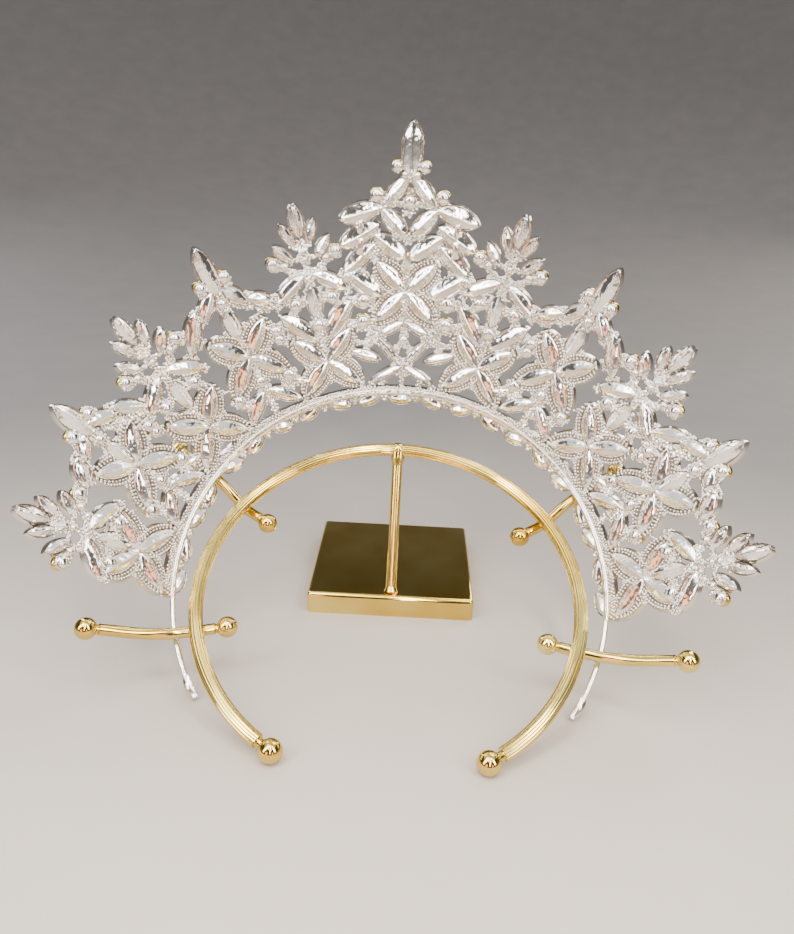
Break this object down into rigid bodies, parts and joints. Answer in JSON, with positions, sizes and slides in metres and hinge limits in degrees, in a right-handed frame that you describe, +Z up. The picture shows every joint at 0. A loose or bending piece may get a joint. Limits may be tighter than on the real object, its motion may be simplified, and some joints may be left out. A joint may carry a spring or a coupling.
{
  "type": "crown on a display stand",
  "caption": "Tall silver lace crown of flowers, sprigs and spires set with cut stones, flared from a wire headband, resting on an open gold ring stand with pegs, post and square base.",
  "frame": {"origin": "centre of the box's underside, on the table", "axes": "+X along the crown's width, +Y towards the side where the crown's front and the stand's base are, +Z up"},
  "size_m": [0.2242, 0.1474, 0.1757],
  "materials": {
    "silver": "polished plated casting",
    "crystal": "cut and polished",
    "gold": "polished plated metal"
  },
  "bodies": {
    "root": {"crown_lace": "silver", "peg_ball_lower_left_inner": "gold", "peg_ball_lower_left_outer": "gold", "peg_ball_lower_right_inner": "gold", "peg_ball_lower_right_outer": "gold", "peg_ball_upper_left_inner": "gold", "peg_ball_upper_left_outer": "gold", "peg_ball_upper_right_inner": "gold", "peg_ball_upper_right_outer": "gold", "peg_lower_left": "gold", "peg_lower_right": "gold", "peg_upper_left": "gold", "peg_upper_right": "gold", "ring_ball_left": "gold", "ring_ball_right": "gold", "stand_base": "gold", "stand_post": "gold", "stand_ring": "gold", "stone_chin_left": "crystal", "stone_chin_right": "crystal", "stone_heart_left": "crystal", "stone_heart_right": "crystal", "stone_low_wing_left": "crystal", "stone_low_wing_right": "crystal", "stone_peak_left": "crystal", "stone_peak_right": "crystal", "stone_spire_left_inner": "crystal", "stone_spire_left_outer": "crystal", "stone_spire_middle": "crystal", "stone_spire_right_inner": "crystal", "stone_spire_right_outer": "crystal", "stone_wing_left": "crystal", "stone_wing_right": "crystal"}
  },
  "joints": []
}
